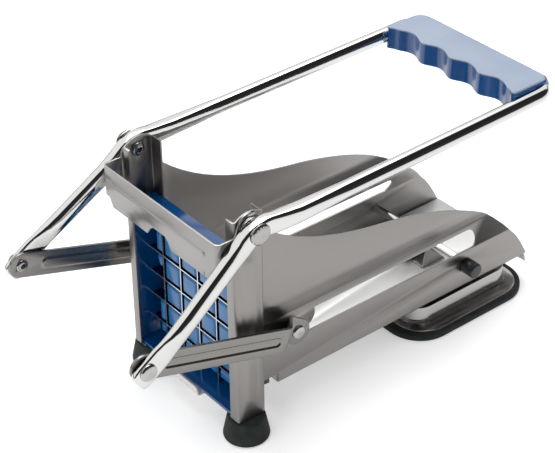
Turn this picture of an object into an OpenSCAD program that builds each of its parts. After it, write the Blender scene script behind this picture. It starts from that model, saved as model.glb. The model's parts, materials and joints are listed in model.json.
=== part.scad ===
// Lever-operated potato chip cutter for a counter: sheet-steel chamber, lift-out blade cassette,
// sliding stud pusher, double lever with links, suction base.
// Millimetres. X runs across (near side +X), Y to the rear, Z up from the counter. The origin lies on the counter,
// under the front rim of the rubber pad; the lengths below are measured from the front face of the posts.

/* [Body] */
// Outer width across the two front posts
body_w = 77; // [75:1:84]
// Thickness of the body sheet
sheet_t = 0.8; // [0.6:0.1:1]
// Depth of each front post
post_depth = 15.5; // [15:0.5:18]
// Height of the post flanges above the counter
post_top = 115.5; // [114:0.5:118]
// Height of the posts' lower ends above the counter
post_foot = 11.1; // [10:0.1:11.5]
// Width of the folded flange at the front of a post
flange_w = 5; // [4:0.1:6]
// Step from the outside of a post in to the chamber wall
wall_inset = 6.6; // [6.2:0.1:7]
// How far the crease of the chamber wall stands inward
crease_in = 4.9; // [3:0.1:5]
// Height of the crease above the counter
crease_z = 47; // [46:0.5:48]
// Height at which the wall starts to curve inward
curve_z = 57; // [56:0.5:60]
// Rear end of the body, measured from the front of the posts
body_len = 184.5; // [182:0.5:190]
// Height of the underside of the body above the counter
body_z = 15.5; // [15.2:0.1:16]
// Height of the wall where it leaves the post
wall_front_z = 105.2; // [100:0.5:107]
// Height of the wall at the middle of its length
wall_mid_z = 74.2; // [72:0.2:78]
// Drop of the rear lip below the body
lip_drop = 6.2; // [3:0.1:7]
// Width of the turned-up tongue under the cassette
tongue_w = 24; // [16:1:30]
// Height of the stiffening bead pressed into a post
bead_len = 76; // [50:1:80]

/* [Blade cassette] */
// Distance from one blade to the next
blade_pitch = 12.7; // [12:0.1:12.8]
// Number of blades each way
blade_count = 5; // [3:2:5]
// Blade thickness
blade_t = 0.5; // [0.3:0.1:0.8]
// Blade width from cutting edge to back
blade_depth = 5; // [4:0.1:5.1]
// Thickness of the cassette's sides
rim_side = 2; // [1.8:0.1:2.4]
// Thickness of the cassette's lower rail
rim_low = 1.5; // [1.4:0.1:2]
// Thickness of the cassette's upper rail
rim_top = 4; // [3:0.1:5]
// Height of the opening in the cassette
open_h = 70.6; // [68:0.1:72]

/* [Retainer band] */
// How far the band stands in front of the posts
band_out = 9.5; // [7:0.1:12]
// Height of the band's top edge
band_top = 109.8; // [108:0.2:111]
// Depth of the band between its top edge and its flaps
band_h = 18.8; // [17:0.2:19.4]

/* [Pusher] */
// Thickness of the stud plate
plate_t = 2.5; // [2:0.1:3]
// Length of the studs
stud_len = 12.4; // [10:0.1:12.6]
// Side of a stud at its root
stud_w = 10.6; // [9:0.1:10.8]
// Height of the top of the stud plate
plate_top = 76; // [74:0.5:77]
// Diameter of the axle
axle_d = 5; // [4:0.1:5.4]
// Diameter of the bush that runs in the slot
bush_d = 7.6; // [7:0.1:8]
// Height of the slot and the axle above the counter
slot_z = 40.2; // [40:0.1:41]

/* [Lever and links] */
// Distance of the pivot behind the front of the posts
pivot_y = 7.5; // [7.2:0.1:8]
// Height of the pivot above the counter
pivot_z = 112; // [111:0.1:112.4]
// Diameter of the pivot rivet
pivot_d = 5; // [4:0.1:5.4]
// Diameter of the lever tube
tube_d = 7.2; // [6.8:0.1:7.6]
// Length of the lower arm from the pivot to the link
lower_len = 69.9; // [69:0.1:71]
// Angle of the lower arm below the horizontal, forward
lower_angle = 33.7; // [32:0.1:35]
// Reach of the upper arms from the pivot to the crossbar
upper_len = 168.5; // [160:0.5:175]
// Swing of the lever from the closed position
lever_swing = 95; // [90:1:96]
// Width of a link
link_w = 11.8; // [11:0.1:13]
// Thickness of a link
link_t = 1.4; // [1.2:0.1:1.5]
// Diameter of the rivet between lever and link
joint_d = 4; // [3.4:0.1:4.6]
// Width of the hand grip
grip_w = 84.6; // [83:0.2:88]
// Height of the hand grip
grip_h = 11; // [10.4:0.1:13]
// Pitch of the finger scallops
scallop_pitch = 18.8; // [16:0.1:19]

/* [Suction base] */
// Width of the rubber pad
pad_w = 80; // [76:1:90]
// Length of the rubber pad
pad_len = 79.5; // [76:0.5:88]
// Thickness of the rubber pad
pad_t = 3.5; // [3.2:0.1:4]
// Front edge of the rubber pad
pad_y = 104; // [102:0.5:106]
// Width of the pan's raised body
pan_w = 61; // [54:1:64]
// Height of the pan above the counter
pan_top = 13; // [12:0.1:13.4]
// Distance of the cam rod behind the front of the posts
rod_y = 142; // [141:0.5:144]
// Height of the cam rod above the counter
rod_z = 28; // [27.8:0.1:28.4]
// Diameter of the cam rod
rod_d = 5; // [4.4:0.1:5.4]
// Diameter of the knob
knob_d = 7.5; // [7:0.1:10]
// Length of the knob
knob_len = 7.1; // [6:0.1:9]
// Throw of the eccentric
cam_throw = 2.2; // [1.8:0.1:2.4]

/* [Feet] */
// Foot diameter at the counter
foot_d = 20.8; // [18:0.2:21]
// Foot diameter at the top
foot_top_d = 17.2; // [14:0.2:17.6]

/* [Hidden] */
// clearances
fit = 0.03;          // pieces fixed to each other
run = 0.05;          // pins that turn
gap = 0.3;           // moving faces
slide_gap = 0.4;     // cassette and pusher in their guides
FN = 48;
POST_X = body_w / 2;
WEB_IN = POST_X - sheet_t;
WALL_X = POST_X - wall_inset;
CREASE_X = WALL_X - crease_in;
LOW_X = WALL_X - 0.2;
LOW_SLANT_Z = crease_z - 11;
// height at which the walls end behind the posts
STEP_Z = body_z + 5.6;
STEP_Y = post_depth + 12.9;
FLOOR_TOP = body_z + 2 * sheet_t;
TAB_TOP = post_foot + sheet_t;
TAB_RISE = 2.7;
FLANGE_LAP = 7;
LIP_ROOM = 2;
BEND = 1;             // room beside the sheet's lower folds
// cassette
CAS_BOT = TAB_TOP + 0.2;
CAS_Y0 = sheet_t + 0.5;
CAS_Y1 = post_depth - sheet_t - gap;
CAS_X = WEB_IN - slide_gap;
OPEN_X = CAS_X - rim_side;
OPEN_Z0 = CAS_BOT + rim_low;
OPEN_Z1 = OPEN_Z0 + open_h;
CAS_TOP = OPEN_Z1 + rim_top;
BLADE_Y1 = CAS_Y1 - 0.2;
BLADE_Y0 = BLADE_Y1 - blade_depth;
BLADE_HOLD = 1.1;
GRID_Z = (OPEN_Z0 + OPEN_Z1) / 2;
HALF_N = (blade_count - 1) / 2;
// linkage
LOW_Y = -lower_len * cos(lower_angle);
LOW_Z = -lower_len * sin(lower_angle);
function joint_at(a) = [pivot_y + LOW_Y * cos(a) - LOW_Z * sin(a), pivot_z + LOW_Y * sin(a) + LOW_Z * cos(a)];
J = joint_at(0);
AXLE_Y = post_depth + 22.5;
LINK_L = norm([AXLE_Y - J[0], slot_z - J[1]]);
LINK_A = atan2(slot_z - J[1], AXLE_Y - J[0]);
function axle_at(a) = joint_at(a)[0] + sqrt(pow(LINK_L, 2) - pow(joint_at(a)[1] - slot_z, 2));
TRAVEL = axle_at(lever_swing) - AXLE_Y;
LINK_TURN = atan2(slot_z - joint_at(lever_swing)[1], AXLE_Y + TRAVEL - joint_at(lever_swing)[0]) - LINK_A;
SLOT_R = bush_d / 2 + gap;
SLOT_Y0 = AXLE_Y - gap;
SLOT_Y1 = AXLE_Y + TRAVEL + 1.2;
// planes of the side parts, measured outward
BAND_RET = POST_X + sheet_t;
ARM_T = 6;
ARM_X = BAND_RET + 1.1 + ARM_T / 2;
ARM_UP_X = ARM_X + 0.6;
ARM_SAG = 1.2;        // how far the lower arms lie below the line through their rivets
PADDLE_T = 3;
LINK_FRONT_X = BAND_RET + 6.2;
PADDLE_X = LINK_FRONT_X + gap + PADDLE_T / 2;
LINK_REAR_X = WALL_X + gap + link_t;
// where a link starts to bend inward, how long the bend is, how much its bar rises above the line of the rivets
LINK_BEND = LINK_L - 18;
LINK_JOG = 11;
LINK_RISE = 3;
TUBE_R = tube_d / 2;
BAR_Y = pivot_y + upper_len;
ARM_SLOPE = 0.0205;
ARM_Z0 = pivot_z - 0.4;
function arm_z(y) = ARM_Z0 + ARM_SLOPE * (y - pivot_y);
BAR_R = 9;
SCALLOP = 3.2;        // depth of the finger scallops
// pusher
PLATE_Y = AXLE_Y - 16.5;
ARM_IN = CREASE_X - sheet_t - 0.5;
CARRIER_T = 1.2;
STUD_BEVEL = 0.7;
STUD_TAPER = 0.45;
// least width and height of a stud beside the wall
STUD_MIN = 2 * (STUD_BEVEL + STUD_TAPER) + 0.5;
// suction base
PAD_MID = pad_y + pad_len / 2;
PAD_RIM = 11;         // width of the pad's bearing face
ORIGIN_Y = pad_y + 4.5;
PAN_MARGIN = 2;
PAN_BODY_IN = 8.5;
CAM_R = rod_d / 2 + cam_throw + 1.2;
CAM_START = -45;
YOKE_GAP = 0.35;
YOKE_HALF = CAM_R + YOKE_GAP;
YOKE_Z = rod_z + cam_throw * sin(CAM_START);
YOKE_WALL = 1.9;
STEM_R = 2;
DISC_Z = pad_t + gap;

// ---------- helpers ----------
function unit(v) = v / norm(v);
function perp(v) = [-v[1], v[0]];
function turn_sign(a, b, c) = sign((b - a)[0] * (c - b)[1] - (b - a)[1] * (c - b)[0]);
// rounded corner b between a and c, n steps
function corner(a, b, c, r, n) = let(u = unit(a - b), v = unit(c - b), h = acos(u * v) / 2,
  m = b + unit(u + v) * (r / sin(h)), p = b + u * (r / tan(h)), a0 = atan2(p[1] - m[1], p[0] - m[0]),
  s = turn_sign(a, b, c) * (180 - 2 * h))
  [for (k = [0:n]) m + r * [cos(a0 + s * k / n), sin(a0 + s * k / n)]];
function rounded_line(p, r, n = 5) = [p[0],
  for (i = [1:len(p) - 2]) each corner(p[i - 1], p[i], p[i + 1], r[i - 1], n), p[len(p) - 1]];
function line_normal(q, i) = let(l = len(q) - 1, a = perp(unit(q[max(i, 1)] - q[max(i, 1) - 1])),
  b = perp(unit(q[min(i + 1, l)] - q[min(i + 1, l) - 1])), s = a + b) s * (2 / (s * s));
function shifted(q, d) = [for (i = [0:len(q) - 1]) q[i] + d * line_normal(q, i)];
function reversed(q) = [for (i = [len(q) - 1:-1:0]) q[i]];
// outline of a bent strip whose middle line is p with corner radii r
function strip_pts(p, r, t) = let(q = rounded_line(p, r)) concat(shifted(q, t / 2), reversed(shifted(q, -t / 2)));
function bez(a, b, c, d, n) = [for (k = [0:n]) let(t = k / n, s = 1 - t)
  s * s * s * a + 3 * s * s * t * b + 3 * s * t * t * c + t * t * t * d];
// extrude a drawing of (x, z) along Y, or of (y, z) along X
module along_y(y0, y1) { translate([0, y1, 0]) rotate([90, 0, 0]) linear_extrude(y1 - y0) children(); }
module along_x(x0, x1) { translate([x0, 0, 0]) rotate([90, 0, 90]) linear_extrude(x1 - x0) children(); }
module bar_x(x0, x1, y, z, r) { translate([x0, y, z]) rotate([0, 90, 0]) cylinder(r = r, h = x1 - x0, $fn = FN); }
module block(a, b) { translate(a) cube(b - a); }
module stadium_x(x0, x1, y0, y1, z, r) { hull() { bar_x(x0, x1, y0, z, r); bar_x(x0, x1, y1, z, r); } }
// low domed head of radius r and height h standing on z = 0
module dome(r, h) { rotate_extrude($fn = FN) polygon([[0, 0], [r, 0], [r, 0.3 * h], [0.86 * r, 0.72 * h],
  [0.55 * r, 0.95 * h], [0, h]]); }
module head_x(x, y, z, r, h) { translate([x, y, z]) rotate([0, h > 0 ? 90 : -90, 0]) dome(r, abs(h)); }
module at_origin() { translate([0, -ORIGIN_Y, 0]) children(); }
module both() { children(); mirror([1, 0, 0]) children(); }
// ring of a swept bar: centre c, travel t, half height a, half thickness b, squareness e
RING_N = 20;
function ring(c, t, a, b, e) = let(w = unit([0, 0, 1] - ([0, 0, 1] * t) * t), n = cross(w, t))
  [for (k = [0:RING_N - 1]) let(f = 360 * k / RING_N) c
    + w * a * sign(sin(f)) * pow(abs(sin(f)), 2 / e) + n * b * sign(cos(f)) * pow(abs(cos(f)), 2 / e)];
// sweep through stations [centre, half height, half thickness, squareness]
module sweep(s) {
  m = len(s);
  pts = [for (i = [0:m - 1]) each ring(s[i][0], unit(s[min(i + 1, m - 1)][0] - s[max(i - 1, 0)][0]),
    s[i][1], s[i][2], s[i][3])];
  faces = concat([[for (k = [0:RING_N - 1]) k]],
    [for (i = [0:m - 2]) for (k = [0:RING_N - 1]) let(a = i * RING_N + k, b = i * RING_N + (k + 1) % RING_N)
      each [[b, a, a + RING_N], [b, a + RING_N, b + RING_N]]],
    [[for (k = [RING_N - 1:-1:0]) (m - 1) * RING_N + k]]);
  polyhedron(pts, faces, convexity = 6);
}

// ---------- body ----------
// middle line of the wall's section, bottom flange to top, in (x, z)
function wall_line(top) = let(h = sheet_t / 2) [
  [LOW_X - FLANGE_LAP, body_z + h], [LOW_X - h, body_z + h], [LOW_X - h, LOW_SLANT_Z - 0.4],
  [CREASE_X - h, crease_z], [WALL_X - h - 1.9, curve_z - 3.7], [WALL_X - h, curve_z + 2], [WALL_X - h, top]];
WALL_RADII = [1, 1.5, 0.8, 10, 12];
// chamber outline inside the walls, shrunk by g
module chamber(g, z0, z1) {
  q = shifted(rounded_line(wall_line(z1 + 5), WALL_RADII), -sheet_t / 2);
  r = [for (p = q) if (p[1] > body_z + 2.5) [p[0] - g - sheet_t, p[1]]];
  intersection() {
    polygon(concat([[r[0][0], 0]], r, [for (p = reversed(r)) [-p[0], p[1]]], [[-r[0][0], 0]]));
    translate([-POST_X, z0]) square([body_w, z1 - z0]);
  }
}
function wall_top() = let(m = (post_depth + body_len) / 2 - 8) concat(
  bez([post_depth, wall_front_z], [post_depth + 20.5, wall_front_z - 18.7], [m - 30, wall_mid_z + 4.3],
    [m, wall_mid_z], 12),
  bez([m, wall_mid_z], [m + 26, wall_mid_z - 4.8], [body_len - 32.5, wall_mid_z - 14.7],
    [body_len - 12.5, body_z + 18.7], 14),
  bez([body_len - 12.5, body_z + 18.7], [body_len - 7.5, body_z + 14], [body_len - 3.5, body_z + 6.5],
    [body_len, body_z], 6));
module side_panel() {
  wall_plan = concat([[post_depth - 2, STEP_Z], [post_depth - 2, wall_front_z]], wall_top(),
    [[STEP_Y, body_z], [STEP_Y, STEP_Z]]);
  channel = [[POST_X - flange_w, sheet_t / 2], [POST_X - sheet_t / 2, sheet_t / 2],
    [POST_X - sheet_t / 2, post_depth - sheet_t / 2], [WALL_X - 0.9, post_depth - sheet_t / 2]];
  post_side = [[0, post_foot + 1.4], [1.4, post_foot], [post_depth - 1.4, post_foot],
    [post_depth, post_foot + 1.4], [post_depth, post_top], [post_depth - 2.5, post_top + 1.7],
    [pivot_y + 2.5, post_top + TAB_RISE], [pivot_y - 0.5, post_top + TAB_RISE],
    [pivot_y - 3.5, post_top + 1.9], [1.5, post_top + 0.3], [0, post_top]];
  difference() {
    union() {
      // wall, cut to its side outline
      intersection() {
        along_y(post_depth - sheet_t, body_len + 1) polygon(strip_pts(wall_line(post_top), WALL_RADII, sheet_t));
        along_x(0, POST_X) polygon(wall_plan);
      }
      // post channel, cut to its side outline
      intersection() {
        translate([0, 0, post_foot]) linear_extrude(post_top) polygon(strip_pts(channel, [1, 1], sheet_t));
        along_x(0, POST_X + 1) polygon(post_side);
      }
      // rear flange from the post in to the creased wall
      along_y(post_depth - sheet_t, post_depth) difference() {
        translate([CREASE_X - 2, STEP_Z]) square([POST_X - 1.2 - CREASE_X + 2, curve_z + 4 - STEP_Z]);
        chamber(-sheet_t / 2, 0, curve_z + 5);
      }
      // tab folded in at the foot
      block([POST_X - FLANGE_LAP, 1, post_foot], [WEB_IN + 0.1, post_depth - 1, TAB_TOP]);
      // bead pressed outward in the web
      hull() {
        for (d = [[0, 4, 0], [0.7, 2.6, 1.4]]) for (e = [-1, 1])
          bar_x(WEB_IN, POST_X + d[0], pivot_y + 0.5, post_foot + 46.9 + e * (bead_len / 2 - 4), d[1]);
      }
    }
    hull() {
      for (e = [-1, 1]) bar_x(WEB_IN - 1, POST_X - 0.1, pivot_y + 0.5,
        post_foot + 46.9 + e * (bead_len / 2 - 4), 2.2);
    }
    // room for the fold of the rear lip
    block([LOW_X - FLANGE_LAP - 1, body_len - LIP_ROOM, body_z - 1],
      [LOW_X - sheet_t - BEND + gap, body_len + 1, body_z + sheet_t + 0.1]);
    stadium_x(CREASE_X - 2, WALL_X + 1, SLOT_Y0, SLOT_Y1, slot_z, SLOT_R);
    bar_x(WEB_IN - 2, POST_X + 2, pivot_y, pivot_z, pivot_d / 2 + fit);
    bar_x(LOW_X - 4, LOW_X + 1, rod_y, rod_z, rod_d / 2 + run);
    translate([POST_X - 4, post_depth / 2, post_foot - 1]) cylinder(r = 2 + fit, h = 3, $fn = FN);
  }
}
module side_panel_right() { at_origin() color([0.64, 0.62, 0.61]) side_panel(); }
module side_panel_left() { at_origin() color([0.6, 0.59, 0.58]) mirror([1, 0, 0]) side_panel(); }

module floor_plate() {
  w = LOW_X - sheet_t - BEND;
  z = FLOOR_TOP - sheet_t / 2;
  at_origin() color([0.9, 0.9, 0.89]) difference() {
    union() {
      block([-w, STEP_Y, FLOOR_TOP - sheet_t], [w, body_len - 1, FLOOR_TOP]);
      // rear lip
      along_x(-w, w) polygon(strip_pts([[body_len - 3, z], [body_len - 0.6, z],
        [body_len + 1.8, body_z - lip_drop]], [1.2], sheet_t));
      // tongue under the cassette, turned up in front
      intersection() {
        along_x(-tongue_w / 2, tongue_w / 2) polygon(strip_pts([[STEP_Y + 1, z], [STEP_Y - 3, z],
          [STEP_Y - 5.5, TAB_TOP - sheet_t / 2], [-1.3, TAB_TOP - sheet_t / 2], [-1.3, TAB_TOP + 3.3]],
          [1, 1, 0.8], sheet_t));
        union() {
          block([-tongue_w / 2, 0, 0], [tongue_w / 2, STEP_Y + 2, 30]);
          along_y(-3, 0.5) {
            hull() for (e = [-1, 1]) translate([e * (tongue_w / 2 - 2.5), TAB_TOP + 0.8]) circle(r = 2.5, $fn = 24);
            translate([-tongue_w / 2, 0]) square([tongue_w, TAB_TOP + 0.8]);
          }
        }
      }
    }
    translate([0, rod_y, 0]) cylinder(r = STEM_R + gap, h = 40, $fn = FN);
  }
}

module retainer_band() {
  y0 = -band_out;
  h = sheet_t / 2;
  out = BAND_RET + 0.9;
  half = [[0, y0 + h], [out - h, y0 + h], [out - h, 0.2], [BAND_RET - h, 2.6], [BAND_RET - h, post_depth + 1]];
  low = band_top - band_h;
  corner_z = low + 4.3;
  front = [[4, low + 5], [6.2, low + 3.4], [8.4, low], [WALL_X + 1.7, low], [POST_X - 2.5, corner_z],
    [out + 1, corner_z], [out + 1, pivot_z + 7], [BAND_RET - 1.2, pivot_z + 7], [BAND_RET - 1.2, band_top]];
  side = concat([[y0 - 1, low - 1], [y0 + 1.2, low - 1], [y0 + 1.2, corner_z], [2.5, corner_z]],
    [for (a = [-40:20:150]) [pivot_y + 6.3 * cos(a), pivot_z + 6.3 * sin(a)]],
    [[-0.6, band_top], [y0 - 1, band_top]]);
  at_origin() color([0.78, 0.77, 0.76]) difference() {
    union() {
      intersection() {
        translate([0, 0, low]) linear_extrude(32) both() polygon(strip_pts(half, [2.1, 1.5, 1.5], sheet_t));
        along_y(y0 - 1, post_depth + 2) both() polygon(concat([[-0.1, low + 5]], front, [[-0.1, band_top]]));
        along_x(-out - 1, out + 1) polygon(side);
      }
      // long raised bead across the front
      hull() for (e = [-1, 1]) translate([e * (WALL_X - 1), y0 + 0.2, low + 10.8]) rotate([90, 0, 0])
        cylinder(r1 = 1.5, r2 = 1, h = 0.65, $fn = 32);
    }
    for (e = [-1, 1]) bar_x(e * BAND_RET - 3, e * BAND_RET + 3, pivot_y, pivot_z, pivot_d / 2 + fit);
  }
}

module foot() {
  translate([POST_X - 4, post_depth / 2, 0]) rotate_extrude($fn = FN) polygon([[0, 0], [foot_d / 2 - 0.6, 0],
    [foot_d / 2, 0.6], [foot_d / 2, 1.4], [foot_top_d / 2, post_foot - 0.6], [foot_top_d / 2 - 0.6, post_foot],
    [2, post_foot], [2, TAB_TOP], [0, TAB_TOP]]);
}
module foot_right() { at_origin() color([0.15, 0.17, 0.17]) foot(); }
module foot_left() { at_origin() color([0.15, 0.17, 0.17]) mirror([1, 0, 0]) foot(); }

module pivot_rivet() {
  out = ARM_X + ARM_T / 2 + gap;
  head_x(WEB_IN, pivot_y, pivot_z, 3.3, -1.6);
  bar_x(WEB_IN, out, pivot_y, pivot_z, pivot_d / 2);
  head_x(out, pivot_y, pivot_z, 4.8, 1.5);
}
module pivot_rivet_right() { at_origin() color([0.75, 0.75, 0.76]) pivot_rivet(); }
module pivot_rivet_left() { at_origin() color([0.75, 0.75, 0.76]) mirror([1, 0, 0]) pivot_rivet(); }
module pivot_washer() {
  difference() {
    bar_x(BAND_RET, ARM_X - ARM_T / 2 - run, pivot_y, pivot_z, 4.6);
    bar_x(BAND_RET - 1, ARM_X, pivot_y, pivot_z, pivot_d / 2 + fit);
  }
}
module pivot_washer_right() { at_origin() color([0.7, 0.7, 0.71]) pivot_washer(); }
module pivot_washer_left() { at_origin() color([0.7, 0.7, 0.71]) mirror([1, 0, 0]) pivot_washer(); }

// ---------- blade cassette ----------
function blade_z(i) = GRID_Z + i * blade_pitch;
module blade_v_box(i, g) {
  block([i * blade_pitch - blade_t / 2 - g, BLADE_Y0 - g, OPEN_Z0 - BLADE_HOLD - g],
    [i * blade_pitch + blade_t / 2 + g, BLADE_Y1 + g, OPEN_Z1 + BLADE_HOLD + g]);
}
module blade_h_box(i, g) {
  block([-OPEN_X - BLADE_HOLD - g, BLADE_Y0 - g, blade_z(i) - blade_t / 2 - g],
    [OPEN_X + BLADE_HOLD + g, BLADE_Y1 + g, blade_z(i) + blade_t / 2 + g]);
}
module blade_v(i) {
  mid = (BLADE_Y0 + BLADE_Y1) / 2;
  if (abs(i) <= HALF_N) at_origin() color([0.86, 0.87, 0.88]) difference() {
    blade_v_box(i, 0);
    for (k = [-HALF_N:HALF_N]) block([i * blade_pitch - blade_t, mid - fit, blade_z(k) - blade_t / 2 - fit],
      [i * blade_pitch + blade_t, BLADE_Y1 + 1, blade_z(k) + blade_t / 2 + fit]);
  }
}
module blade_h(i) {
  mid = (BLADE_Y0 + BLADE_Y1) / 2;
  if (abs(i) <= HALF_N) at_origin() color([0.86, 0.87, 0.88]) difference() {
    blade_h_box(i, 0);
    for (k = [-HALF_N:HALF_N]) block([k * blade_pitch - blade_t / 2 - fit, BLADE_Y0 - 1, blade_z(i) - blade_t],
      [k * blade_pitch + blade_t / 2 + fit, mid + fit, blade_z(i) + blade_t]);
  }
}
module cassette_frame() {
  lip_w = 12;
  at_origin() color([0.05, 0.28, 0.52]) difference() {
    union() {
      along_y(CAS_Y0, CAS_Y1) difference() {
        translate([-CAS_X, CAS_BOT]) square([2 * CAS_X, CAS_TOP - CAS_BOT]);
        translate([-OPEN_X, OPEN_Z0]) square([2 * OPEN_X, open_h]);
      }
      // finger lip standing on the top rail
      along_y(CAS_Y0, CAS_Y0 + 2.2) {
        translate([-lip_w / 2, CAS_TOP - 1]) square([lip_w, 5]);
        hull() for (e = [-1, 1]) translate([e * (lip_w / 2 - 2), CAS_TOP + 4]) circle(r = 2, $fn = 24);
      }
    }
    for (i = [-HALF_N:HALF_N]) {
      blade_v_box(i, fit);
      blade_h_box(i, fit);
    }
  }
}
module blade_v1() { blade_v(-2); }
module blade_v2() { blade_v(-1); }
module blade_v3() { blade_v(0); }
module blade_v4() { blade_v(1); }
module blade_v5() { blade_v(2); }
module blade_h1() { blade_h(-2); }
module blade_h2() { blade_h(-1); }
module blade_h3() { blade_h(0); }
module blade_h4() { blade_h(1); }
module blade_h5() { blade_h(2); }

// ---------- lever ----------
// stations of the right arm from the paddle's tip to the middle of the crossbar, grown by g
function lower_pt(s) = let(k = max(0, min(1, (s - 10) / (lower_len - 24))),
  d = ARM_SAG * max(0, min(1, s / 25)))
  [ARM_X + (PADDLE_X - ARM_X) * k, pivot_y - s * cos(lower_angle) + d * sin(lower_angle),
    pivot_z - s * sin(lower_angle) - d * cos(lower_angle)];
function arm_stations(g) = concat(
  [for (q = [[6.4, 3], [6.1, 3.9], [5.3, 4.7], [3.8, 5.2], [1.5, 5.4], [-8, 5.3], [-12, 4.8]])
    [lower_pt(lower_len + q[0]), q[1] + g, PADDLE_T / 2 + g, 5]],
  [for (q = [[-16, 4.3, 2.2, 3.6], [-20, 4.1, 2.9, 2.8], [-26, 4.1, 3.2, 2.6], [-54, 4.2, 3.1, 3]])
    [lower_pt(lower_len + q[0]), q[1] + g, q[2] + g, q[3]]],
  let(a = lower_pt(9), c = [ARM_X, pivot_y + 9, pivot_z + 0.2], m = [ARM_X, pivot_y - 0.5, pivot_z + 2.2])
  [for (t = [0:0.125:1]) [(1 - t) * (1 - t) * a + 2 * t * (1 - t) * m + t * t * c, 4.4 + g, ARM_T / 2 + g, 4.2]],
  [[[ARM_X + 0.3, pivot_y + 15, pivot_z + 0.1], 4.2 + g, ARM_T / 2 + 0.3 + g, 3.8]],
  [for (q = [[22, 0.3, 3.4], [30, 0.2, 3], [38, 0.1, 2.5], [48, 0, 2]])
    [[ARM_UP_X, pivot_y + q[0], arm_z(pivot_y + q[0])], TUBE_R + q[1] + g, TUBE_R + g, q[2]]],
  [for (f = [0.35, 0.6, 0.85]) let(y = pivot_y + upper_len * f) [[ARM_UP_X, y, arm_z(y)], TUBE_R + g, TUBE_R + g, 2]],
  [for (a = [0:15:90]) [[ARM_UP_X - BAR_R + BAR_R * cos(a), BAR_Y - BAR_R + BAR_R * sin(a), arm_z(BAR_Y - 4)],
    TUBE_R + g, TUBE_R + g, 2]],
  [[[12, BAR_Y, arm_z(BAR_Y - 4)], TUBE_R + g, TUBE_R + g, 2]]);
module lever_bar(g) {
  s = arm_stations(g);
  sweep(concat(s, [for (q = reversed(s)) [[-q[0][0], q[0][1], q[0][2]], q[1], q[2], q[3]]]));
}
module lever_tube() {
  at_origin() color([0.82, 0.83, 0.84]) difference() {
    lever_bar(0);
    for (e = [-1, 1]) {
      bar_x(e * ARM_X - 6, e * ARM_X + 6, pivot_y, pivot_z, pivot_d / 2 + run);
      bar_x(e * PADDLE_X - 6, e * PADDLE_X + 6, J[0], J[1], joint_d / 2 + fit);
    }
  }
}
module hand_grip() {
  w = grip_w / 2;
  z = arm_z(BAR_Y - 4);
  y1 = BAR_Y + TUBE_R + 0.8;
  cusp = y1 - 24.4;
  top = z + grip_h / 2 + 0.1;
  low = z - grip_h / 2 + 0.1;
  front_r = 2;
  rear_r = 5.8;
  corner_y = cusp - 1.6 + front_r;
  right = [for (a = [-90:30:0]) [w - front_r + front_r * cos(a), corner_y + front_r * sin(a)]];
  plan = concat([for (k = [-24:24]) let(x = k * scallop_pitch / 12)
    [x, cusp + SCALLOP * pow((1 - cos(360 * x / scallop_pitch)) / 2, 0.85)]],
    right, [[w, y1 + 1], [-w, y1 + 1]], [for (p = reversed(right)) [-p[0], p[1]]]);
  // round-cornered block: height, how far its ends and its rear side stand in
  levels = [[low, 1.1, 4], [low + 0.4, 0.5, 2.6], [low + 1.4, 0, 1], [z - 2.2, 0, 0], [z + 1.6, 0, 0],
    [top - 1.3, 0, 1.6], [top - 0.8, 0.12, 2.4], [top - 0.35, 0.42, 3.1], [top - 0.08, 0.8, 3.7], [top, 1.1, 4.2]];
  function outline(g, y) = let(arc = [for (a = [0:15:90])
    [w - g - rear_r + rear_r * cos(a), y - rear_r + rear_r * sin(a)]])
    concat([[g - w, cusp - 4], [w - g, cusp - 4]], arc, [for (p = reversed(arc)) [-p[0], p[1]]]);
  n = len(outline(0, y1));
  m = len(levels) - 1;
  at_origin() color([0.03, 0.3, 0.58]) difference() {
    intersection() {
      translate([0, 0, low - 1]) linear_extrude(grip_h + 2) polygon(plan);
      polyhedron([for (q = levels) each [for (p = outline(q[1], y1 - q[2])) [p[0], p[1], q[0]]]],
        concat([[for (k = [0:n - 1]) k]], [for (i = [0:m - 1]) for (k = [0:n - 1]) let(a = i * n + k,
          b = i * n + (k + 1) % n) each [[b, a, a + n], [b, a + n, b + n]]],
          [[for (k = [n - 1:-1:0]) m * n + k]]), convexity = 4);
    }
    lever_bar(fit);
  }
}
module joint_rivet() {
  inner = LINK_FRONT_X - link_t - run;
  outer = PADDLE_X + PADDLE_T / 2;
  head_x(inner, J[0], J[1], 2.8, -1);
  bar_x(inner, outer, J[0], J[1], joint_d / 2);
  head_x(outer, J[0], J[1], 3.9, 1.7);
}
module joint_rivet_right() { at_origin() color([0.75, 0.75, 0.76]) joint_rivet(); }
module joint_rivet_left() { at_origin() color([0.75, 0.75, 0.76]) mirror([1, 0, 0]) joint_rivet(); }

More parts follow.
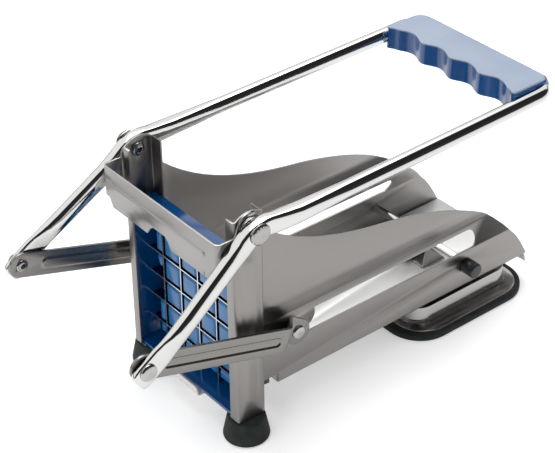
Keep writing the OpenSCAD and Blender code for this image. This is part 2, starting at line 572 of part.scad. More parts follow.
// ---------- links ----------
// a link lies along its own Y from the front rivet, then is turned and carried to the joint
module place_link() { translate([0, J[0], J[1]]) rotate([LINK_A, 0, 0]) children(); }
module link() {
  h = link_t / 2;
  line = [[LINK_FRONT_X - h, -8], [LINK_FRONT_X - h, LINK_BEND], [LINK_REAR_X - h, LINK_BEND + LINK_JOG],
    [LINK_REAR_X - h, LINK_L + 8]];
  r0 = link_w / 2;
  rise_z = (LINK_BEND + 4) * tan(LINK_RISE);
  x0 = WALL_X - 2;
  x1 = LINK_FRONT_X + 2;
  difference() {
    union() {
      intersection() {
        translate([0, 0, -12]) linear_extrude(24) polygon(strip_pts(line, [2.4, 2.4], link_t));
        union() {
          hull() { bar_x(x0, x1, 0, 0, r0); bar_x(x0, x1, LINK_BEND + 4, rise_z, r0); }
          hull() { bar_x(x0, x1, LINK_BEND + 4, rise_z, r0); bar_x(x0, x1, LINK_L, 0, r0 + 0.3); }
        }
      }
      // long groove pressed inward: its back
      hull() for (q = [[0, 2.9], [0.7, 1.9]]) for (s = [12.5, LINK_BEND - 6])
        bar_x(LINK_FRONT_X - link_t - q[0], LINK_FRONT_X - h, s, s * tan(LINK_RISE), q[1]);
    }
    hull() for (q = [[1, 3.6], [-0.7, 1.6]]) for (s = [12.5, LINK_BEND - 6])
      bar_x(LINK_FRONT_X + q[0], LINK_FRONT_X + 1.5, s, s * tan(LINK_RISE), q[1]);
    bar_x(LINK_FRONT_X - 4, LINK_FRONT_X + 2, 0, 0, joint_d / 2 + run);
    bar_x(LINK_REAR_X - 4, LINK_REAR_X + 2, LINK_L, 0, 1.5 + fit);
  }
}
module link_right() { at_origin() color([0.8, 0.8, 0.81]) place_link() link(); }
module link_left() { at_origin() color([0.8, 0.8, 0.81]) mirror([1, 0, 0]) place_link() link(); }
module link_end_rivet() {
  place_link() {
    bar_x(LINK_REAR_X - link_t, LINK_REAR_X, LINK_L, 0, 1.5);
    head_x(LINK_REAR_X, LINK_L, 0, 3.3, 1.2);
  }
}
module link_end_rivet_right() { at_origin() color([0.75, 0.75, 0.76]) link_end_rivet(); }
module link_end_rivet_left() { at_origin() color([0.75, 0.75, 0.76]) mirror([1, 0, 0]) link_end_rivet(); }

// ---------- pusher ----------
// half width left between the walls for the pusher at height z
function wall_in(z) = lookup(z, [[LOW_SLANT_Z - 0.4, LOW_X], [crease_z, CREASE_X], [curve_z - 3.7, WALL_X - 1.9],
  [curve_z + 2, WALL_X]]) - sheet_t - slide_gap - 0.3;
// height below or above the crease at which the walls leave the half width x
function z_below(x) = crease_z - (x - wall_in(crease_z)) * (crease_z - LOW_SLANT_Z + 0.4) / (LOW_X - CREASE_X);
function z_above(x) = crease_z + (x - wall_in(crease_z)) * (curve_z - 3.7 - crease_z) / (crease_in - 1.9);
// outline of the stud in column c, row r: [inner side, outer side at its foot, foot, outer side at its top, top]
function stud_box(c, r) = let(h = stud_w / 2, x0 = c * blade_pitch - h, x1 = c * blade_pitch + h,
  need = x0 + STUD_MIN, tight = wall_in(crease_z) < need, lower = blade_z(r) < crease_z,
  z0 = max(blade_z(r) - h, FLOOR_TOP + slide_gap, tight && !lower ? z_above(need) : 0),
  z1 = min(blade_z(r) + h, OPEN_Z1 - slide_gap, tight && lower ? z_below(need) : OPEN_Z1))
  [x0, min(x1, wall_in(z0)), z0, min(x1, wall_in(z1)), z1];
function stud_ring(q, y, t) = [[q[0] + t, y, q[2] + t], [q[1] - t, y, q[2] + t], [q[3] - t, y, q[4] - t],
  [q[0] + t, y, q[4] - t]];
module stud(q) {
  face_y = PLATE_Y - stud_len;
  pts = concat(stud_ring(q, PLATE_Y + 1, 0), stud_ring(q, face_y + STUD_BEVEL, STUD_TAPER),
    stud_ring(q, face_y, STUD_TAPER + STUD_BEVEL));
  if (q[4] - q[2] > STUD_MIN + 1) polyhedron(pts, concat([[0, 1, 2, 3], [11, 10, 9, 8]],
    [for (r = [0, 4]) for (k = [0:3]) let(a = r + k, b = r + (k + 1) % 4) each [[b, a, a + 4], [b, a + 4, b + 4]]]));
}
module stud_plate() {
  low = FLOOR_TOP + slide_gap;
  at_origin() color([0.05, 0.3, 0.55]) union() {
    along_y(PLATE_Y, PLATE_Y + plate_t) chamber(slide_gap, low, plate_top);
    both() for (c = [0.5:HALF_N + 0.5]) for (r = [-HALF_N - 0.5:HALF_N + 0.5])
      if (blade_z(r) + stud_w / 2 < plate_top) stud(stud_box(c, r));
  }
}
module pusher_carrier() {
  y0 = PLATE_Y + plate_t;
  h = CARRIER_T / 2;
  at_origin() color([0.6, 0.6, 0.6]) difference() {
    intersection() {
      translate([0, 0, FLOOR_TOP + slide_gap + 4]) linear_extrude(plate_top - FLOOR_TOP - 14)
        polygon(strip_pts([[-ARM_IN + h, AXLE_Y + 20], [-ARM_IN + h, y0 + h], [ARM_IN - h, y0 + h],
          [ARM_IN - h, AXLE_Y + 20]], [1.6, 1.6], CARRIER_T));
      along_x(-ARM_IN - 1, ARM_IN + 1) {
        translate([y0 - 1, 0]) square([2.6, plate_top]);
        hull() {
          translate([y0 + 1, slot_z - 7]) square([0.6, plate_top - slot_z - 7]);
          translate([AXLE_Y + 9.5, slot_z - 0.6]) circle(r = 6.4, $fn = 32);
        }
      }
    }
    bar_x(-ARM_IN - 2, ARM_IN + 2, AXLE_Y, slot_z, axle_d / 2 + fit);
  }
}
module pusher_axle() { at_origin() color([0.75, 0.75, 0.76]) bar_x(-WALL_X, WALL_X, AXLE_Y, slot_z, axle_d / 2); }
module slot_bush() {
  difference() {
    bar_x(ARM_IN + 0.1, WALL_X - 0.2, AXLE_Y, slot_z, bush_d / 2);
    bar_x(ARM_IN - 1, WALL_X + 1, AXLE_Y, slot_z, axle_d / 2 + fit);
  }
}
module slot_bush_right() { at_origin() color([0.3, 0.3, 0.32]) slot_bush(); }
module slot_bush_left() { at_origin() color([0.3, 0.3, 0.32]) mirror([1, 0, 0]) slot_bush(); }

// ---------- suction base ----------
module plan_round(w, l, r) {
  translate([0, PAD_MID]) hull() for (a = [-1, 1]) for (b = [-1, 1])
    translate([a * (w / 2 - r), b * (l / 2 - r)]) circle(r = r, $fn = 64);
}
module suction_pad() {
  at_origin() color([0.14, 0.16, 0.16]) difference() {
    linear_extrude(pad_t) plan_round(pad_w, pad_len, 18);
    translate([0, 0, -1]) linear_extrude(2.6) plan_round(pad_w - 2 * PAD_RIM, pad_len - 2 * PAD_RIM, 10);
  }
}
module suction_pan() {
  flange_w2 = pad_w - 2 * PAN_MARGIN;
  flange_l = pad_len - 2 * PAN_MARGIN - 3.3;
  body_l = pad_len - 2 * PAN_BODY_IN;
  at_origin() color([0.62, 0.61, 0.6]) difference() {
    union() {
      translate([0, 0, pad_t]) linear_extrude(sheet_t) plan_round(flange_w2, flange_l, 15);
      translate([0, 0, pad_t]) linear_extrude(2.2) plan_round(pan_w + 1.6, body_l + 1.6, 9.8);
      translate([0, 0, pad_t]) linear_extrude(pan_top - pad_t) plan_round(pan_w, body_l, 9);
    }
    translate([0, 0, pad_t - 1]) linear_extrude(pan_top - pad_t + 1 - sheet_t)
      plan_round(pan_w - 2 * sheet_t, body_l - 2 * sheet_t, 9 - sheet_t);
    translate([0, rod_y, 0]) cylinder(r = STEM_R + gap, h = 40, $fn = FN);
  }
}
module pan_spacer(ex, ey) {
  at_origin() color([0.55, 0.55, 0.56]) translate([ex * (pan_w / 2 - 10), PAD_MID + ey * (pad_len / 2 - 20), pan_top])
    cylinder(r = 4, h = FLOOR_TOP - sheet_t - pan_top, $fn = FN);
}
module pan_spacer_1() { pan_spacer(-1, -1); }
module pan_spacer_2() { pan_spacer(1, -1); }
module pan_spacer_3() { pan_spacer(-1, 1); }
module pan_spacer_4() { pan_spacer(1, 1); }
module cam_bracket() {
  cheek = 10;
  h = sheet_t / 2;
  at_origin() color([0.66, 0.66, 0.66]) difference() {
    intersection() {
      along_y(rod_y - 7, rod_y + 8) polygon(strip_pts([[-cheek, rod_z + 6], [-cheek, FLOOR_TOP + h],
        [cheek, FLOOR_TOP + h], [cheek, rod_z + 6]], [1, 1], sheet_t));
      along_x(-cheek - 10, cheek + 10) hull() {
        translate([rod_y - 7, FLOOR_TOP]) square([15, 2]);
        translate([rod_y, rod_z]) circle(r = 5, $fn = 32);
      }
    }
    bar_x(-cheek - 10, cheek + 10, rod_y, rod_z, rod_d / 2 + run);
    translate([0, rod_y, 0]) cylinder(r = STEM_R + gap, h = rod_z - 3, $fn = FN);
  }
}
module cam_rod() {
  c = [rod_y + cam_throw * cos(CAM_START), rod_z + cam_throw * sin(CAM_START)];
  at_origin() color([0.8, 0.8, 0.81]) {
    bar_x(-WALL_X - 0.6, WALL_X + knob_len - 1, rod_y, rod_z, rod_d / 2);
    bar_x(-2, 2, c[0], c[1], CAM_R);
  }
}
module cam_knob() {
  x0 = WALL_X + 0.2;
  at_origin() color([0.1, 0.12, 0.12]) difference() {
    translate([x0, rod_y, rod_z]) rotate([0, 90, 0]) rotate_extrude($fn = FN) polygon([[0, 0],
      [knob_d / 2 - 0.3, 0], [knob_d / 2, 0.3], [knob_d / 2, knob_len - 0.6], [knob_d / 2 - 0.6, knob_len],
      [0, knob_len]]);
    bar_x(x0 - 1, WALL_X + knob_len - 1, rod_y, rod_z, rod_d / 2 + fit);
  }
}
module pad_lifter() {
  half_y = CAM_R + cam_throw + YOKE_GAP;
  o = YOKE_HALF + YOKE_WALL;
  low = YOKE_Z - o;
  at_origin() color([0.7, 0.7, 0.71]) difference() {
    union() {
      block([-2, rod_y - half_y - YOKE_WALL, low], [2, rod_y + half_y + YOKE_WALL, YOKE_Z + o]);
      translate([0, rod_y, DISC_Z]) cylinder(r = STEM_R, h = low + 1 - DISC_Z, $fn = FN);
      translate([0, rod_y, DISC_Z]) cylinder(r = 14, h = 1.2, $fn = FN);
    }
    block([-3, rod_y - half_y, YOKE_Z - YOKE_HALF], [3, rod_y + half_y, YOKE_Z + YOKE_HALF]);
  }
}

side_panel_left();
side_panel_right();
floor_plate();
retainer_band();
foot_left();
foot_right();
pivot_rivet_left();
pivot_rivet_right();
pivot_washer_left();
pivot_washer_right();
cassette_frame();
blade_v1();
blade_v2();
blade_v3();
blade_v4();
blade_v5();
blade_h1();
blade_h2();
blade_h3();
blade_h4();
blade_h5();
lever_tube();
hand_grip();
joint_rivet_left();
joint_rivet_right();
link_left();
link_right();
link_end_rivet_left();
link_end_rivet_right();
stud_plate();
pusher_carrier();
pusher_axle();
slot_bush_left();
slot_bush_right();
suction_pad();
suction_pan();
pan_spacer_1();
pan_spacer_2();
pan_spacer_3();
pan_spacer_4();
cam_bracket();
cam_rod();
cam_knob();
pad_lifter();
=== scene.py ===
"""Looks of the lever-operated potato chip cutter, built around its packed metal and plastic pieces."""
import json
import math

import bpy
from mathutils import Matrix, Vector

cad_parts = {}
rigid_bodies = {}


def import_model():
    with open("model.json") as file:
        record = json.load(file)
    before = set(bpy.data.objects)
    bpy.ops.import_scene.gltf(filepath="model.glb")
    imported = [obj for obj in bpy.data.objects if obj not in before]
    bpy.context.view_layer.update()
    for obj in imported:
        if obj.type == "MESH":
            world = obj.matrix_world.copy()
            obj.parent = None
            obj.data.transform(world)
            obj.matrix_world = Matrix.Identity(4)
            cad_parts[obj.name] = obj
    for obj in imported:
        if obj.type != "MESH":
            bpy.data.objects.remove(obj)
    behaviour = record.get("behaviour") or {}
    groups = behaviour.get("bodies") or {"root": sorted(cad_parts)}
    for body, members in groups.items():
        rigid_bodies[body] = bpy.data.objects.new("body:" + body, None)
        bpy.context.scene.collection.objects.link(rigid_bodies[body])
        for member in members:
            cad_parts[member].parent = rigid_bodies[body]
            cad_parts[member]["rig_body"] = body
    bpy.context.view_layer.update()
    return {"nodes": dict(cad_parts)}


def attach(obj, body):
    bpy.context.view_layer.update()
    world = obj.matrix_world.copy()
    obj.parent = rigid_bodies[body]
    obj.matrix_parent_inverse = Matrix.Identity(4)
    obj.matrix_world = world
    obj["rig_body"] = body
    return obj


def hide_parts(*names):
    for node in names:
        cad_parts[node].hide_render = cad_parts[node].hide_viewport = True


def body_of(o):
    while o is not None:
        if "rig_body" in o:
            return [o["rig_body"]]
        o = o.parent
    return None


MM = 0.001
# the photograph's width and its lens, both in its own pixels
PHOTO_WIDTH = 555
LENS_PIXELS = 1654.8
SENSOR_WIDTH = 36.0
# the camera's place in millimetres, and its right and up directions
CAMERA_PLACE = (471.75, -434.244, 482.274)
CAMERA_RIGHT = (0.63017, 0.77643, -0.00645)
CAMERA_UP = (-0.43269, 0.35805, 0.82739)

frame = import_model()
nodes = frame["nodes"]


# ---------- camera ----------
def look_from(place, right, up):
    """A camera at a place in millimetres with its right and up directions."""
    right = Vector(right).normalized()
    back = right.cross(Vector(up)).normalized()
    up = back.cross(right)
    data = bpy.data.cameras.new("product_camera")
    data.sensor_width = SENSOR_WIDTH
    data.sensor_fit = "HORIZONTAL"
    data.lens = SENSOR_WIDTH * LENS_PIXELS / PHOTO_WIDTH
    data.clip_start = 0.05
    data.clip_end = 60
    cam = bpy.data.objects.new("product_camera", data)
    bpy.context.scene.collection.objects.link(cam)
    turn = Matrix((right, up, back)).transposed().to_4x4()
    cam.matrix_world = Matrix.Translation(Vector(place) * MM) @ turn
    bpy.context.scene.camera = cam


look_from(CAMERA_PLACE, CAMERA_RIGHT, CAMERA_UP)


# ---------- shader arithmetic ----------
class Value:
    """A number coming out of a node, with arithmetic that adds Math nodes."""

    def __init__(self, finish, socket):
        self.finish = finish
        self.socket = socket

    def _math(self, operation, *terms):
        return self.finish.node("ShaderNodeMath", {"operation": operation}, dict(enumerate(terms)))

    def __add__(self, other):
        return self._math("ADD", self, other)

    __radd__ = __add__

    def __sub__(self, other):
        return self._math("SUBTRACT", self, other)

    def __rsub__(self, other):
        return self._math("SUBTRACT", other, self)

    def __mul__(self, other):
        return self._math("MULTIPLY", self, other)

    __rmul__ = __mul__

    def __pow__(self, other):
        return self._math("POWER", self, other)

    def size(self):
        return self._math("ABSOLUTE", self)

    def at_most(self, top):
        return self._math("MINIMUM", self, top)

    def at_least(self, low):
        return self._math("MAXIMUM", self, low)

    def spread(self, low, high, out_low=0.0, out_high=1.0):
        """The value carried from one range to another, held at both ends."""
        return self.finish.node("ShaderNodeMapRange", {"clamp": True},
                                {0: self, 1: low, 2: high, 3: out_low, 4: out_high})


class Finish:
    """One material, written as expressions."""

    def __init__(self, name, tree=None, **surface):
        if tree is None:
            self.material = bpy.data.materials.new(name)
            self.material.use_nodes = True
            tree = self.material.node_tree
        self.tree = tree
        self.surface = tree.nodes.get("Principled BSDF")
        for socket, value in surface.items():
            self.surface.inputs[socket.replace("_", " ")].default_value = value

    def node(self, kind, settings=None, sockets=None, out=0, stops=None):
        made = self.tree.nodes.new(kind)
        for key, value in (settings or {}).items():
            setattr(made, key, value)
        if stops:
            ramp = made.color_ramp
            while len(ramp.elements) < len(stops):
                ramp.elements.new(0.5)
            for element, (place, colour) in zip(ramp.elements, stops):
                element.position = place
                element.color = (colour, colour, colour, 1)
        for key, value in (sockets or {}).items():
            self.feed(made.inputs[key], value)
        return Value(self, made.outputs[out])

    def feed(self, socket, value):
        if isinstance(value, Value):
            self.tree.links.new(value.socket, socket)
        elif hasattr(value, "__len__") and len(value) == 3 and socket.type == "RGBA":
            socket.default_value = (*value, 1)
        else:
            socket.default_value = value

    def set(self, **values):
        for name, value in values.items():
            self.feed(self.surface.inputs[name.replace("_", " ")], value)
        return self

    def object_place(self, scale=(1, 1, 1), turn=(0, 0, 0)):
        spot = self.node("ShaderNodeTexCoord", out="Object")
        return self.node("ShaderNodeMapping", {}, {"Vector": spot, "Scale": scale, "Rotation": turn})

    def place(self):
        """The three object coordinates."""
        spot = self.node("ShaderNodeTexCoord", out="Object")
        return [self.node("ShaderNodeSeparateXYZ", {}, {0: spot}, out=k) for k in range(3)]

    def noise(self, scale=1.0, stretch=(1, 1, 1), detail=3.0, rough=0.55, turn=(0, 0, 0)):
        spot = self.object_place(stretch, turn)
        return self.node("ShaderNodeTexNoise", {},
                         {"Vector": spot, "Scale": scale, "Detail": detail, "Roughness": rough})

    def blend(self, mask, low, high):
        return self.node("ShaderNodeMix", {"data_type": "RGBA"}, {0: mask, 6: low, 7: high}, out=2)

    def bump(self, height, distance, strength=1.0):
        return self.node("ShaderNodeBump", {},
                         {"Height": height, "Distance": distance, "Strength": strength})


# ---------- materials ----------
def brushed_sheet(name, colour, along, roughness=0.3, streak=0.05, cloud=0.04, depth=0.000003,
                  inner=None, metal=1.0, slit=None):
    """Rolled and brushed stainless sheet: fine lines along one direction, faint clouds, small rubs.

    inner paints the chamber side lighter, as painted light which stands for the light inside:
    a list of (height, half width of the sheet's middle).
    slit is (x, low, high) of a narrow upright relief cut, painted dark as painted shade in the cut."""
    fin = Finish(name, Metallic=metal)
    across = [1.0, 1.0, 1.0]
    across["xyz".index(along)] = 0.03
    lines = fin.noise(1300, across, 3, 0.6)
    bands = fin.noise(170, across, 2, 0.5)
    clouds = fin.noise(22, (1, 1, 1), 3, 0.5)
    tone = (lines - 0.5) * streak + (bands - 0.5) * streak + (clouds - 0.5) * cloud * 2
    low = [c * 0.7 for c in colour]
    high = [min(1.0, c * 1.22) for c in colour]
    shade = fin.blend(tone + 0.58, low, high)
    if inner:
        x, y, z = fin.place()
        middle = 0.0
        for (z0, x0), (z1, x1) in zip(inner, inner[1:]):
            middle = z.spread(z0, z1, 0.0, x1 - x0) + middle
        inside = (middle + inner[0][1] - x.size()).spread(-0.0001, 0.0001)
        soft = fin.noise(11, (1, 0.5, 1.4), 2, 0.5)
        # painted light: the chamber side's face is drawn lighter, in soft streaks
        painted_inner_light = fin.blend(soft.spread(0.35, 0.68), [c * 1.0 for c in colour], [c * 1.35 for c in colour])
        shade = fin.blend(inside, shade, painted_inner_light)
    if slit:
        x, y, z = fin.place()
        # painted shade: a dark upright stripe where the relief cut stands
        cut = (x - slit[0]).size().spread(0.00028, 0.0002) * z.spread(slit[1], slit[1] + 0.0001)
        shade = fin.blend(cut * z.spread(slit[2], slit[2] - 0.0001), shade, (0.03, 0.03, 0.03))
    fin.set(Base_Color=shade,
            Roughness=((lines - 0.5) * 0.08 + (clouds - 0.5) * 0.08 + roughness).at_least(0.08),
            Normal=fin.bump(lines + bands * 0.5, depth))
    return fin.material


def polished_metal(name, colour, roughness=0.1, wear=0.06, hollow=None):
    """Polished or plated steel with faint hand marks and a few fine scratches.

    hollow is (x, y, z): ends nearer the middle than x show a drilled rivet end round that axis, painted as a
    dark hole and a dark ring of painted shade."""
    fin = Finish(name, Metallic=1.0)
    marks = fin.noise(90, (1, 1, 1), 4, 0.6)
    fine = fin.noise(900, (1, 0.08, 0.5), 3, 0.6, (0.4, 0.2, 0.9))
    shade = fin.blend((marks - 0.5) * 0.8 + 0.6, [c * 0.86 for c in colour], colour)
    if hollow:
        x, y, z = fin.place()
        off = ((y - hollow[1]) ** 2 + (z - hollow[2]) ** 2) ** 0.5
        end = x.size().spread(hollow[0], hollow[0] - 0.0001)
        # painted shade: the drilled hole and its rim are drawn dark
        hole = off.spread(0.0014, 0.0011) * end
        ring = (off - 0.0021).size().spread(0.00035, 0.00015) * end
        shade = fin.blend((hole + ring * 0.6).at_most(1.0), shade, (0.03, 0.03, 0.03))
    fin.set(Base_Color=shade,
            Roughness=((marks - 0.5) * wear + (fine - 0.5) * wear + roughness).at_least(0.02),
            Normal=fin.bump(fine + marks * 0.4, 0.000003))
    return fin.material


def blade_strip(name, edge, colour, side):
    """Thin ground strip: a bright steel cutting edge at its front, and behind it sides painted dark with a
    blue tint as painted shade, with faint rub marks.
    """
    fin = Finish(name, Metallic=1.0)
    rub = fin.noise(420, (1, 0.2, 1), 3, 0.6)
    x, y, z = fin.place()
    painted_side_shade = fin.blend(rub, [c * 0.8 for c in side], side)
    # painted shade: the strip's sides behind the edge are drawn dark blue
    fin.set(Base_Color=fin.blend(y.spread(edge, edge + 0.0005), colour, painted_side_shade),
            Roughness=(rub - 0.5) * 0.1 + 0.25)
    return fin.material


def moulded_plastic(name, colour, light, roughness=0.2, grain=0.000004, deep=None, lit=None,
                    ior=1.5):
    """Glossy moulded plastic with a faint orange-peel surface and slight mould flow.

    deep is (y, colour): the colour behind that depth, which stands for the shade in the gaps.
    lit is (z, colour): the colour above that height, which stands for light on a top face."""
    fin = Finish(name, Coat_Weight=0.4, Coat_Roughness=0.08, IOR=ior)
    flow = fin.noise(34, (1, 1, 1), 3, 0.5)
    peel = fin.noise(500, (1, 1, 1), 2, 0.5)
    shade = fin.blend((flow - 0.5) * 1.6 + 0.45, colour, light)
    x, y, z = fin.place()
    if deep:
        # painted shade: darker colour behind that depth
        shade = fin.blend(y.spread(deep[0], deep[0] + 0.0006), shade, deep[1])
    if lit:
        # painted light: paler colour on the top face above that height
        pale = z.spread(lit[0], lit[0] + 0.0004) * (flow * 0.5 + 0.6).at_most(1.0)
        shade = fin.blend(pale, shade, lit[1])
    fin.set(Base_Color=shade,
            Roughness=(peel - 0.5) * 0.06 + (flow - 0.5) * 0.08 + roughness,
            Normal=fin.bump(peel, grain))
    return fin.material


def rubber_skin(name, colour, light):
    """Dull black rubber with dust in its pores."""
    fin = Finish(name, Specular_IOR_Level=0.35)
    dust = fin.noise(160, (1, 1, 1), 5, 0.65)
    pores = fin.noise(2600, (1, 1, 1), 2, 0.5)
    fin.set(Base_Color=fin.blend(dust.spread(0.45, 0.8), colour, light),
            Roughness=(dust - 0.5) * 0.3 + 0.62, Normal=fin.bump(pores, 0.00003))
    return fin.material


# heights and half widths of the middle of the folded side sheet
SHEET_LINE = [(0.0356, 0.0313), (0.047, 0.0266), (0.0533, 0.0296), (0.059, 0.0315)]
# drilled inner ends of the rivets, drawn as painted shade: the X that they lie within, and the axis in Y and
# Z
PIVOT = (0.0374, -0.101, 0.112)
JOINT = (0.0435, -0.1591536, 0.0732164)
# the relief cut at the band's corner, painted dark as painted shade: its place across, and its two heights
BAND_SLIT = (0.0312, 0.091, 0.0931)
# where the blades' bright edge ends and their painted shade begins, where the painted shade in the studs'
# gaps begins, and where the painted light on the grip's top begins
BLADE_EDGE_Y = -0.0993
STUD_SHADE_Y = -0.0985
GRIP_PALE_Z = 0.1198

WALL = brushed_sheet("body_steel_wall", (0.34, 0.325, 0.315), "y", 0.36, inner=SHEET_LINE)
FLOOR = brushed_sheet("polished_floor_steel", (0.84, 0.83, 0.81), "y", 0.3, 0.03, 0.03, 0.000002, metal=0.4)
BAND = brushed_sheet("band_steel_sheet", (0.38, 0.37, 0.36), "x", 0.3, 0.05, 0.05,
                     slit=BAND_SLIT)
BRACKET = brushed_sheet("small_part_steel", (0.46, 0.45, 0.44), "y", 0.3, 0.05, 0.05)
PAN = brushed_sheet("pan_steel", (0.50, 0.49, 0.48), "y", 0.18, 0.04, 0.05)
TUBE = polished_metal("chromed_tube_metal", (0.80, 0.80, 0.79), 0.07, 0.04)
LINK = brushed_sheet("link_steel_plate", (0.28, 0.27, 0.26), "y", 0.26, 0.04, 0.05)
RIVET = polished_metal("rivet_metal", (0.56, 0.55, 0.54), 0.2, 0.08)
PIVOT_RIVET = polished_metal("pivot_rivet_metal", (0.5, 0.49, 0.48), 0.25, 0.08, PIVOT)
JOINT_RIVET = polished_metal("joint_rivet_metal", (0.56, 0.55, 0.54), 0.22, 0.08, JOINT)
BLADE = blade_strip("blade_steel_strip", BLADE_EDGE_Y, (0.9, 0.92, 0.94), (0.13, 0.2, 0.32))
BLUE = moulded_plastic("blue_plastic_moulding", (0.0, 0.05, 0.19), (0.0, 0.065, 0.23), ior=1.6)
GRIP = moulded_plastic("blue_grip_moulding", (0.0, 0.055, 0.21), (0.0, 0.075, 0.26), 0.22, ior=1.6,
                       lit=(GRIP_PALE_Z, (0.33, 0.39, 0.5)))
STUDS = moulded_plastic("blue_stud_moulding", (0.015, 0.145, 0.37), (0.02, 0.17, 0.42), 0.3,
                        deep=(STUD_SHADE_Y, (0.0, 0.02, 0.075)))
RUBBER = rubber_skin("black_rubber", (0.012, 0.017, 0.016), (0.035, 0.045, 0.042))
BLACK = moulded_plastic("black_plastic_moulding", (0.012, 0.013, 0.013), (0.02, 0.022, 0.022), 0.42, 0.000012)


# ---------- pieces ----------
WELD_DISTANCE = 2e-6
SMOOTH_ANGLE = math.radians(38)
FACE_WEIGHT = 80


def only(piece):
    bpy.ops.object.select_all(action="DESELECT")
    piece.select_set(True)
    bpy.context.view_layer.objects.active = piece


def dressed(node, finish, bevel=0.0, angle=30, steps=2, flat=1.0, even=False):
    """A smoother copy of a node's shape, with softened edges, that stands for it.

    flat merges faces within that many degrees; even weights the shading by face size."""
    piece = bpy.data.objects.new(node + "_skin", nodes[node].data.copy())
    bpy.context.scene.collection.objects.link(piece)
    only(piece)
    bpy.ops.object.mode_set(mode="EDIT")
    bpy.ops.mesh.select_all(action="SELECT")
    bpy.ops.mesh.remove_doubles(threshold=WELD_DISTANCE)
    if flat:
        bpy.ops.mesh.dissolve_limited(angle_limit=math.radians(flat))
    bpy.ops.object.mode_set(mode="OBJECT")
    if bevel:
        soft = piece.modifiers.new("soft_edges", "BEVEL")
        soft.width = bevel
        soft.segments = steps
        soft.limit_method = "ANGLE"
        soft.angle_limit = math.radians(angle)
        soft.use_clamp_overlap = True
        bpy.ops.object.modifier_apply(modifier=soft.name)
    bpy.ops.object.shade_smooth_by_angle(angle=SMOOTH_ANGLE)
    if even:
        level = piece.modifiers.new("even_shading", "WEIGHTED_NORMAL")
        level.keep_sharp = True
        level.weight = FACE_WEIGHT
        bpy.ops.object.modifier_apply(modifier=level.name)
    piece.data.materials.clear()
    piece.data.materials.append(finish)
    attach(piece, body_of(nodes[node])[0])
    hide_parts(node)
    return piece


for side in ("left", "right"):
    dressed("side_panel_" + side, WALL, 0.00022)
    dressed("foot_" + side, RUBBER, 0.0004)
    dressed("pivot_rivet_" + side, PIVOT_RIVET, 0.00015)
    dressed("pivot_washer_" + side, RIVET, 0.0002)
    dressed("joint_rivet_" + side, JOINT_RIVET, 0.00015)
    dressed("link_" + side, LINK, 0.0002)
    dressed("link_end_rivet_" + side, RIVET, 0.00012)
    dressed("slot_bush_" + side, BLACK, 0.0003)
dressed("floor_plate", FLOOR, 0.0002)
dressed("retainer_band", BAND, 0.00022)
dressed("cassette_frame", BLUE, 0.0004)
dressed("stud_plate", STUDS, 0.0003)
dressed("lever_tube", TUBE, flat=0)
dressed("hand_grip", GRIP, even=True)
dressed("pusher_carrier", BRACKET, 0.0002)
dressed("cam_bracket", BRACKET, 0.0002)
dressed("suction_pan", PAN, 0.0003)
dressed("suction_pad", RUBBER, 0.0008, 30, 3)
dressed("cam_rod", TUBE, 0.0003)
dressed("cam_knob", BLACK, 0.0004, 30, 3)
dressed("pusher_axle", RIVET, 0.0003)
dressed("pad_lifter", BRACKET, 0.0002)
for k in range(1, 5):
    dressed(f"pan_spacer_{k}", BRACKET, 0.0003)
for k in range(1, 6):
    for way in "vh":
        strip = nodes[f"blade_{way}{k}"]
        strip.data.materials.clear()
        strip.data.materials.append(BLADE)


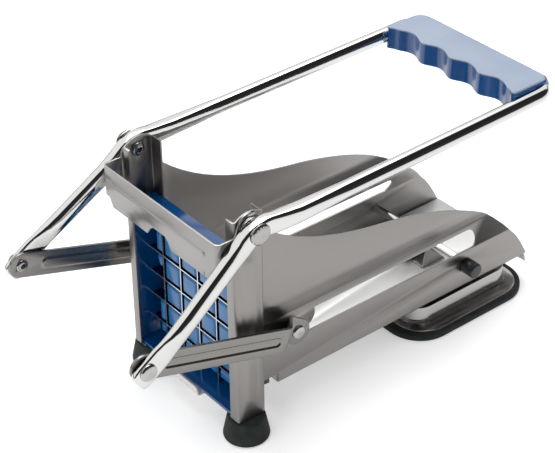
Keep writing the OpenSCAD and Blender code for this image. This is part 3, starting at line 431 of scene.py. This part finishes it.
# ---------- studio ----------
def studio_floor():
    bpy.ops.object.select_all(action="DESELECT")
    bpy.ops.mesh.primitive_plane_add(size=8, location=(0, 0, -0.0002))
    ground = bpy.context.object
    ground.name = "studio_floor"
    fin = Finish("studio_floor_paper")
    fin.surface.inputs["Base Color"].default_value = (0.9, 0.9, 0.9, 1)
    fin.surface.inputs["Roughness"].default_value = 0.9
    fin.surface.inputs["Specular IOR Level"].default_value = 0.0
    rays = fin.node("ShaderNodeLightPath", out="Is Camera Ray")
    gloss = fin.node("ShaderNodeLightPath", out="Is Glossy Ray")
    fin.set(Emission_Color=fin.blend(rays * 0.36 + gloss * 0.1, (0, 0, 0), (1, 1, 1)))
    fin.surface.inputs["Emission Strength"].default_value = 1.0
    ground.data.materials.append(fin.material)


def studio_world():
    world = bpy.data.worlds.new("studio_surroundings")
    bpy.context.scene.world = world
    world.use_nodes = True
    fin = Finish("surroundings", tree=world.node_tree)
    aim = fin.node("ShaderNodeTexCoord", out="Generated")
    x, z = [fin.node("ShaderNodeSeparateXYZ", {}, {0: aim}, out=k) for k in (0, 2)]
    bright = fin.node("ShaderNodeValToRGB", {}, {0: z * 0.5 + 0.5}, stops=[
        (0.0, 0.8), (0.49, 0.7), (0.5, 0.15), (0.55, 0.12), (0.6, 0.9), (0.7, 1.0), (1.0, 1.0)])
    screen = fin.node("ShaderNodeValToRGB", {}, {0: z * 0.5 + 0.5}, stops=[
        (0.0, 0.8), (0.47, 0.6), (0.5, 0.04), (0.8, 0.02), (1.0, 0.02)])
    seen = fin.blend(x.spread(-0.06, 0.03), bright, screen)
    camera = fin.node("ShaderNodeLightPath", out="Is Camera Ray")
    gloss = fin.node("ShaderNodeLightPath", out="Is Glossy Ray")
    plain = fin.blend(gloss, (0.5, 0.5, 0.5), seen)
    colour = fin.blend(camera, plain, (1, 1, 1))
    back = world.node_tree.nodes["Background"]
    fin.tree.links.new(colour.socket, back.inputs["Color"])
    back.inputs["Strength"].default_value = 1.0


def softbox(name, place, target, size, power):
    data = bpy.data.lights.new(name, "AREA")
    data.shape = "RECTANGLE"
    data.size, data.size_y = size
    data.energy = power
    lamp = bpy.data.objects.new(name, data)
    bpy.context.scene.collection.objects.link(lamp)
    lamp.location = place
    lamp.rotation_euler = (Vector(target) - Vector(place)).to_track_quat("-Z", "Y").to_euler()
    return lamp


studio_floor()
studio_world()
softbox("overhead_softbox", (-0.35, 0.2, 1.3), (0, -0.05, 0.03), (1.1, 1.1), 13)
softbox("front_softbox", (0.2, -1.4, 0.9), (0, -0.05, 0.05), (0.9, 0.7), 6).visible_glossy = False

scene = bpy.context.scene
scene.view_settings.view_transform = "Standard"
